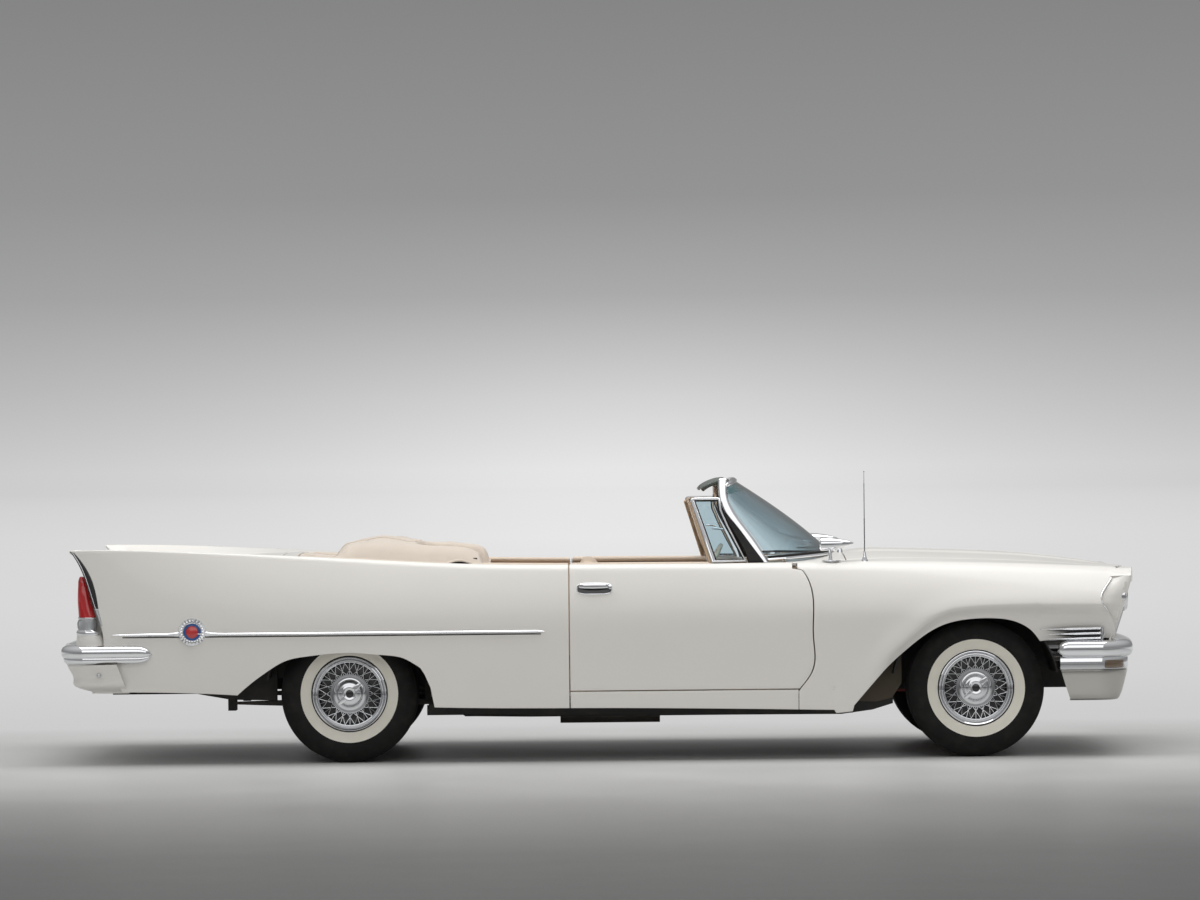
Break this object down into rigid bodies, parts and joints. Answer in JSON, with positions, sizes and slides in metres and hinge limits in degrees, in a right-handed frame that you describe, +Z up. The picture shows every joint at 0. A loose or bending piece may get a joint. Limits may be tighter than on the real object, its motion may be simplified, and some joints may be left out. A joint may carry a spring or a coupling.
{
  "type": "convertible car",
  "caption": "Full-size 1950s convertible car with tail fins, its top folded under a cover, whitewall tyres, a wraparound windshield, and opening doors, hood and trunk lid.",
  "frame": {"origin": "on the ground at mid-length, on the centre plane", "axes": "+X towards the nose, +Y towards the car's left side, +Z up"},
  "size_m": [5.568, 2.022, 1.468],
  "materials": {
    "ivory_paint": "gloss",
    "bright_trim": "polished",
    "tan_trim": "satin",
    "tan_cloth": "matt",
    "tinted_glass": "clear",
    "lamp_glass": "clear",
    "red_lens": "gloss",
    "whitewall_tyre": "matt",
    "black_underbody": "matt",
    "driveline_iron": "rough",
    "engine_paint": "satin",
    "exhaust_steel": "dull",
    "dash_paint": "satin",
    "wheel_rim_plastic": "gloss"
  },
  "bodies": {
    "body": {"front_fender_left": "ivory_paint", "front_fender_right": "ivory_paint", "rear_quarter_left": "ivory_paint", "rear_quarter_right": "ivory_paint", "cowl": "ivory_paint", "rear_deck": "ivory_paint", "nose_panel": "ivory_paint", "tail_panel": "ivory_paint", "rocker_sills": "ivory_paint", "floor_pan": "black_underbody", "firewall": "black_underbody", "trunk_floor": "black_underbody", "wheelhouses": "black_underbody", "cross_members": "black_underbody", "grille": "bright_trim", "headlamps": "lamp_glass", "front_bumper": "bright_trim", "rear_bumper": "bright_trim", "tail_lamps": "red_lens", "side_spears": "bright_trim", "mirrors_antenna": "bright_trim", "windshield_glass": "tinted_glass", "windshield_frame": "bright_trim", "dashboard": "dash_paint", "steering_column": "dash_paint", "top_boot": "tan_cloth", "frame_rails": "black_underbody", "engine": "engine_paint", "rear_axle": "driveline_iron", "leaf_springs": "driveline_iron", "exhaust": "exhaust_steel", "fuel_tank": "black_underbody", "front_suspension": "driveline_iron", "front_seat": "tan_trim", "rear_seat": "tan_trim"},
    "door_left": {"door_left": "ivory_paint", "vent_frame_left": "bright_trim", "vent_glass_left": "tinted_glass"},
    "knuckle_left": {"knuckle_left": "driveline_iron"},
    "wheel_front_left": {"wheel_front_left": "bright_trim", "tyre_front_left": "whitewall_tyre"},
    "wheel_rear_left": {"wheel_rear_left": "bright_trim", "tyre_rear_left": "whitewall_tyre"},
    "door_right": {"door_right": "ivory_paint", "vent_frame_right": "bright_trim", "vent_glass_right": "tinted_glass"},
    "knuckle_right": {"knuckle_right": "driveline_iron"},
    "wheel_front_right": {"wheel_front_right": "bright_trim", "tyre_front_right": "whitewall_tyre"},
    "wheel_rear_right": {"wheel_rear_right": "bright_trim", "tyre_rear_right": "whitewall_tyre"},
    "hood": {"hood": "ivory_paint"},
    "trunk_lid": {"trunk_lid": "ivory_paint"},
    "steering_wheel": {"steering_wheel": "wheel_rim_plastic"}
  },
  "joints": [
    {"name": "door_left_hinge", "type": "hinge", "parent": "body", "child": "door_left", "pos_m": [1.072, 0.988, 0.7], "axis": [0, 0, -1], "range_deg": [0, 65]},
    {"name": "steer_left", "type": "hinge", "parent": "body", "child": "knuckle_left", "pos_m": [1.92202, 0.671, 0.352], "axis": [0, 0, 1], "range_deg": [-30, 30]},
    {"name": "spin_front_left", "type": "hinge", "parent": "knuckle_left", "child": "wheel_front_left", "pos_m": [1.92202, 0.777, 0.352], "axis": [0, 1, 0], "continuous": true},
    {"name": "spin_rear_left", "type": "hinge", "parent": "body", "child": "wheel_rear_left", "pos_m": [-1.27797, 0.762, 0.352], "axis": [0, 1, 0], "continuous": true},
    {"name": "door_right_hinge", "type": "hinge", "parent": "body", "child": "door_right", "pos_m": [1.072, -0.988, 0.7], "axis": [0, 0, 1], "range_deg": [0, 65]},
    {"name": "steer_right", "type": "hinge", "parent": "body", "child": "knuckle_right", "pos_m": [1.92202, -0.671, 0.352], "axis": [0, 0, 1], "range_deg": [-30, 30]},
    {"name": "spin_front_right", "type": "hinge", "parent": "knuckle_right", "child": "wheel_front_right", "pos_m": [1.92202, -0.777, 0.352], "axis": [0, 1, 0], "continuous": true},
    {"name": "spin_rear_right", "type": "hinge", "parent": "body", "child": "wheel_rear_right", "pos_m": [-1.27797, -0.762, 0.352], "axis": [0, 1, 0], "continuous": true},
    {"name": "hood_hinge", "type": "hinge", "parent": "body", "child": "hood", "pos_m": [1.275, 0, 1.04817], "axis": [0, -1, 0], "range_deg": [0, 55]},
    {"name": "trunk_lid_hinge", "type": "hinge", "parent": "body", "child": "trunk_lid", "pos_m": [-1.64, 0, 1.06493], "axis": [0, 1, 0], "range_deg": [0, 65]},
    {"name": "steering_wheel_turn", "type": "hinge", "parent": "body", "child": "steering_wheel", "pos_m": [0.56, 0.395, 0.89], "axis": [-0.8827, 0, 0.4699], "range_deg": [-361, 361]}
  ],
  "couplings": [
    {"joint": "steer_right", "follows": "steer_left", "ratio": 1},
    {"joint": "steering_wheel_turn", "follows": "steer_left", "ratio": 12}
  ]
}
